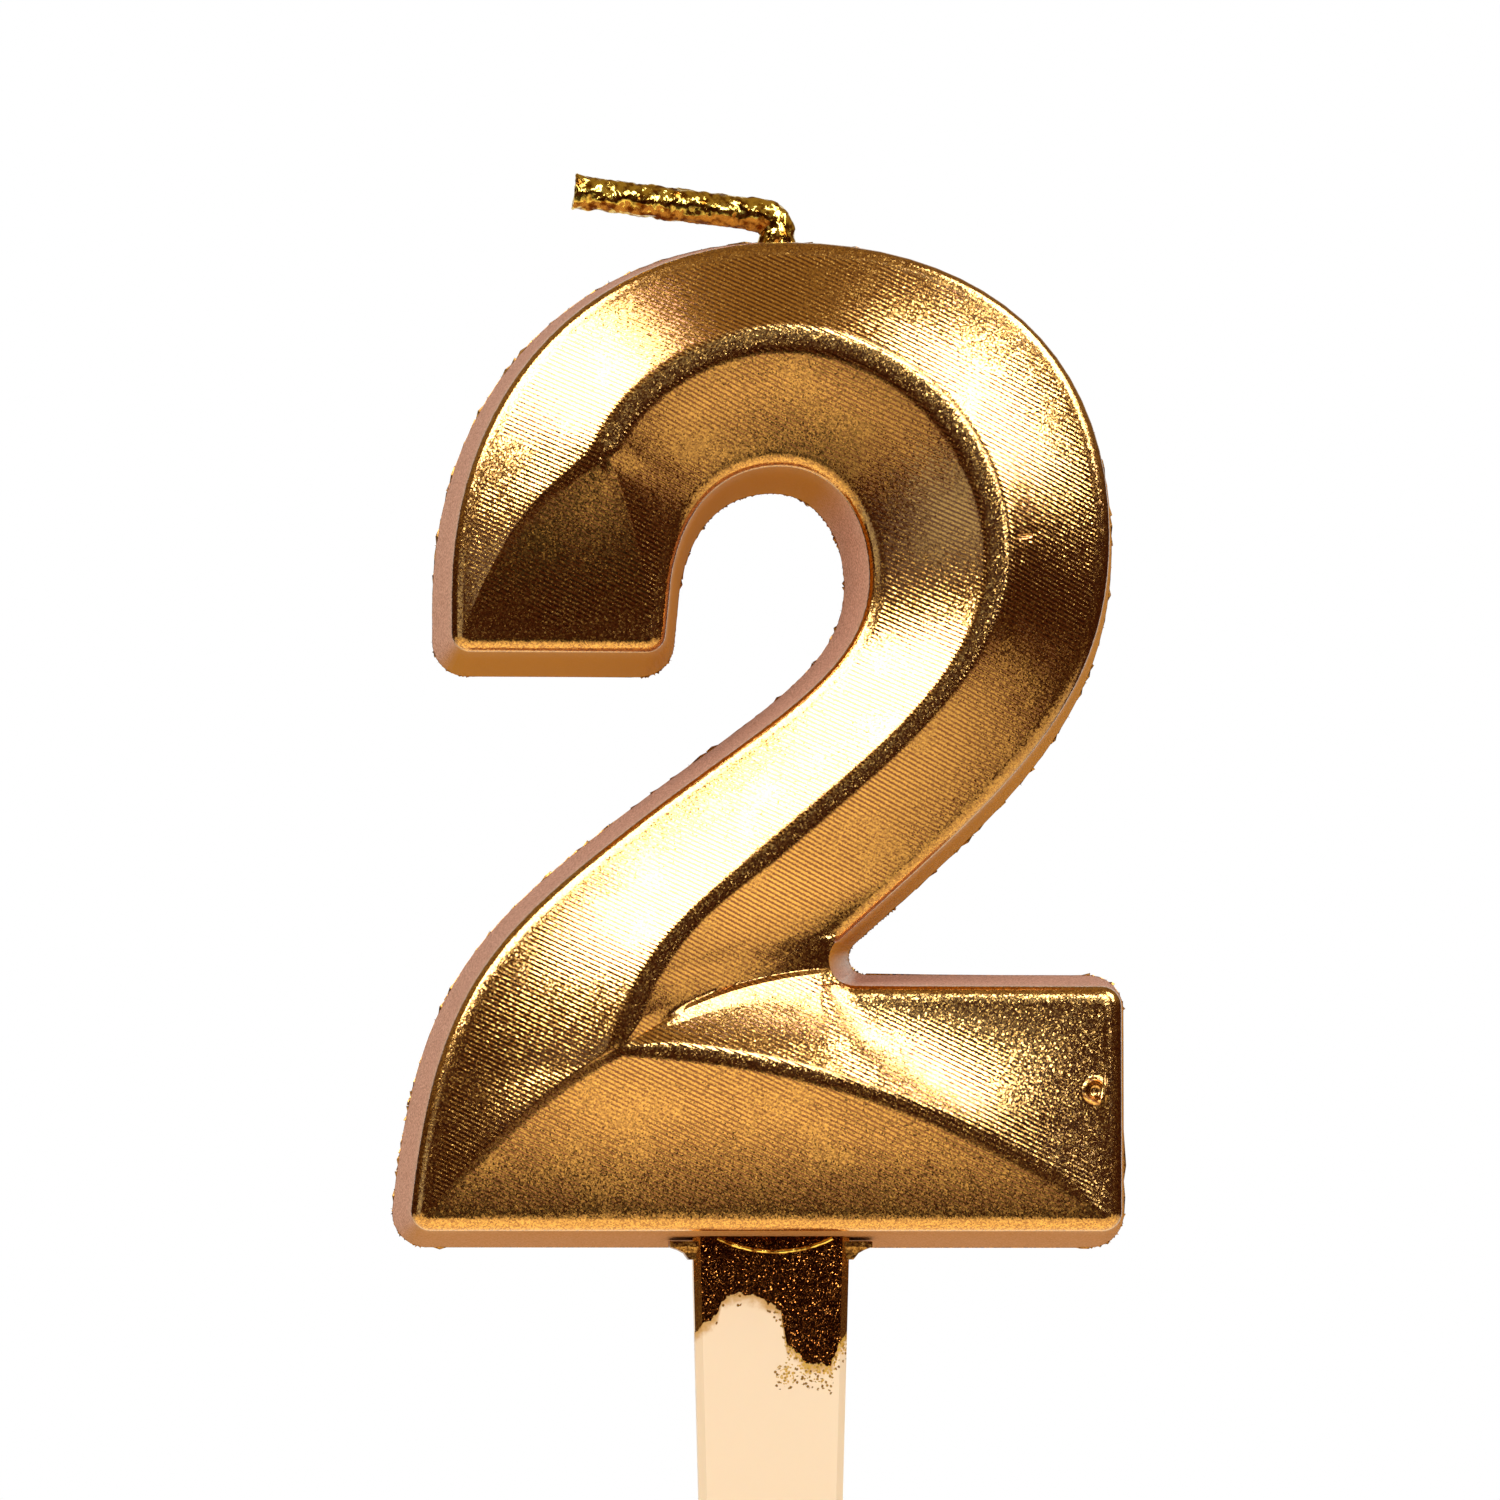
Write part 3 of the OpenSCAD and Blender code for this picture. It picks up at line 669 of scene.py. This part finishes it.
def wick():
    """The primed wick in its foil: a squashed stub out of the wax, a sharp bend, and the flared cut tip."""
    turn = math.pi / 2 - TIP_TILT
    rise = BEND_R * math.tan(turn / 2)
    top = KINK - Vector((0, 0, rise))
    ahead = Vector((-math.cos(TIP_TILT), 0, math.sin(TIP_TILT)))
    stub, stub_steps = 1.6, 12
    piece = start("wick", bpy.ops.mesh.primitive_circle_add, vertices=48, radius=WICK_R, fill_type="NGON",
                  location=top - Vector((0, 0, stub * MM)))
    bpy.ops.object.transform_apply(location=True, rotation=True, scale=True)
    edit_all(piece)
    bpy.ops.transform.resize(value=(1.36, 1.08, 1))
    for _ in range(stub_steps):
        bpy.ops.mesh.extrude_region_move(TRANSFORM_OT_translate={"value": (0, 0, stub / stub_steps * MM)})
        bpy.ops.transform.resize(value=(0.98, 0.994, 1))
    bpy.ops.mesh.spin(steps=14, angle=turn, center=top + Vector((-BEND_R, 0, 0)), axis=(0, 1, 0))

    # The free end narrows after the bend and flares at its cut
    steps, waist = 90, 9
    stride = ahead * ((TIP_LONG - rise) / steps)
    for i in range(steps):
        bpy.ops.mesh.extrude_region_move(TRANSFORM_OT_translate={"value": stride})
        grow = 0.994 if i < waist else 1.012 if i > steps - waist else 1.0
        bpy.ops.transform.resize(value=(grow, grow, grow))
    for ahead_by, in_by in ((0.6, 0.07), (0.2, 0.1), (-0.8, 0.2), (-0.8, 0.25)):
        bpy.ops.mesh.inset(thickness=in_by * MM)
        bpy.ops.transform.translate(value=ahead_by * stride)
    sew_up()
    crumple(piece, "foil_folds", "VORONOI_F2_F1", 1.1 * MM, 0.26 * MM)
    crumple(piece, "foil_creases", "ORIGINAL_PERLIN", 0.5 * MM, 0.14 * MM)
    apply_all(piece)
    coat(piece, wick_foil(), 60)
    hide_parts("wick_root", "wick_elbow", "wick_tip")
    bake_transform(piece)


def pick_stick():
    """The flat stick that goes into the cake."""
    piece = cast_from("stick", "cake_stick")
    coat(piece, stick_plastic(), 30)
    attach(piece, "candle")
    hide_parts("stick")


# Studio

def toward(across, up):
    """The direction seen from the candle at these angles, 0 across being the camera's side."""
    a, e = math.radians(across), math.radians(up)
    return Vector((math.sin(a) * math.cos(e), -math.cos(a) * math.cos(e), math.sin(e)))


def only_mirrored(piece):
    """Leaves a lit piece to be seen in the gold alone."""
    piece.visible_camera = piece.visible_diffuse = piece.visible_shadow = False


def table():
    """Plain pale floor; the gold shows the card that lies on it instead."""
    floor = start("table", bpy.ops.mesh.primitive_plane_add, size=1.2, location=(0, 0, FLOOR_Z - 0.1 * MM))
    mat, tree, shader = new_finish("pale_table")
    feed(tree, shader, {"Base Color": TABLE_PALE, "Roughness": 0.7})
    floor.data.materials.append(mat)
    floor.visible_glossy = False


def lit_panel(name, corners, away, glow):
    """A soft panel with its corners, in turn, seen from the candle at these angles."""
    panel = start(name, bpy.ops.mesh.primitive_plane_add, size=1)
    # A new plane counts its corners row by row, so the last two change places
    round_the_plane = [0, 1, 3, 2]
    for i, (across, up) in zip(round_the_plane, corners):
        panel.data.vertices[i].co = LIT_MIDDLE + toward(across, up) * away
    mat, tree, light = new_glow(name, PANEL_TINT)
    feed(tree, light, {"Strength": glow})
    panel.data.materials.append(mat)
    only_mirrored(panel)


def bounce_card():
    """A card on the table that throws light up into the facets that look down, less and less outward and
    hardly any where the camera's side of the table lies in the dark."""
    card = start("bounce_card", bpy.ops.mesh.primitive_circle_add, vertices=64, radius=0.225, fill_type="NGON",
                 location=(-4 * MM, -10 * MM, FLOOR_Z + 1 * MM))
    mat, tree, light = new_glow("bounce_card", CARD_TINT)
    place = add(tree, "TexCoord").outputs["Object"]
    # The card glows by itself: a painted pool of light round the candle and a painted shadow on the camera's
    # side
    pool = between_plain(tree, vectors(tree, "DISTANCE", place, (0, 0, 0)), 45 * MM, 150 * MM, 1.45, 0.75)
    painted_camera_shadow = between(tree, vectors(tree, "DISTANCE", place, (0.009, -0.19, 0)), 30 * MM, 130 * MM, 0.05, 1.0)
    feed(tree, light, {"Strength": sums(tree, "MULTIPLY", pool, painted_camera_shadow)})
    card.data.materials.append(mat)
    only_mirrored(card)


def softbox(name, across, up, level):
    """A soft lamp seen from the candle at these angles, which lights matt paint that faces it to this level."""
    away, wide = 0.9, 0.6
    lamp = bpy.data.lights.new(name, "AREA")
    lamp.size = wide
    lamp.energy = level * math.pi * math.pi * away * away
    obj = bpy.data.objects.new(name, lamp)
    obj.location = LIT_MIDDLE + toward(across, up) * away
    obj.rotation_mode = "QUATERNION"
    obj.rotation_quaternion = (-toward(across, up)).to_track_quat("-Z", "Y")
    obj.visible_camera = False
    obj.visible_glossy = False
    bpy.context.scene.collection.objects.link(obj)


def studio_world():
    """White backdrop behind the candle and a dim room on the camera's side."""
    world = bpy.data.worlds.new("studio")
    bpy.context.scene.world = world
    world.use_nodes = True
    tree = world.node_tree
    way = split(tree, add(tree, "TexCoord").outputs["Generated"])
    room = mixed(tree, between(tree, way["Z"], 0.08, 0.45), ROOM_LOW, ROOM_HIGH)
    mirrored = mixed(tree, between(tree, way["Y"], 0.75, 0.95), room, WHITE)
    fill = mixed(tree, between(tree, way["Y"], -0.1, 0.3), FILL_NEAR, FILL_FAR)
    ray = add(tree, "LightPath").outputs
    plain = sums(tree, "MAXIMUM", ray["Is Camera Ray"], ray["Is Transmission Ray"])
    light = mixed(tree, ray["Is Glossy Ray"], fill, mirrored)
    feed(tree, tree.nodes["Background"], {"Color": mixed(tree, plain, light, WHITE)})


def camera():
    """The camera that took the photograph."""
    back = toward(LOOK_ACROSS, LOOK_UP)
    lens = bpy.data.cameras.new("camera")
    lens.lens = LENS
    lens.sensor_fit = "HORIZONTAL"
    lens.sensor_width = SENSOR
    lens.clip_start, lens.clip_end = 0.01, 20
    obj = bpy.data.objects.new("camera", lens)
    obj.location = AIM + back * CAMERA_AWAY
    obj.rotation_mode = "QUATERNION"
    obj.rotation_quaternion = (-back).to_track_quat("-Z", "Y")
    bpy.context.scene.collection.objects.link(obj)
    bpy.context.scene.camera = obj


camera()
mould_flash(numeral())
wax_collar()
wax_lip()
wick()
pick_stick()
table()
lit_panel("left_softbox", [(-67, 22), (-18, 21), (-42, 58), (-54, 57)], PANEL_AWAY, PANEL_GLOW)
lit_panel("right_softbox", [(39, 34), (53, 12.5), (80, 45), (47, 62)], PANEL_AWAY, PANEL_GLOW)
lit_panel("front_softbox", [(9.5, 22.5), (20, 5.5), (28.5, 33), (9, 40)], PANEL_AWAY, PANEL_GLOW)
lit_panel("front_glow", [(0, 9.5), (30, 4), (32, 42), (0, 42)], GLOW_AWAY, SOFT_GLOW)
bounce_card()
lit_panel("left_wall", [(-62, -25), (-36, -25), (-36, 6), (-62, 6)], PANEL_AWAY, WALL_GLOW)
softbox("left_lamp", -40, 35, 0.48)
softbox("right_lamp", 50, 30, 0.35)
studio_world()
bpy.context.scene.view_settings.view_transform = "Standard"
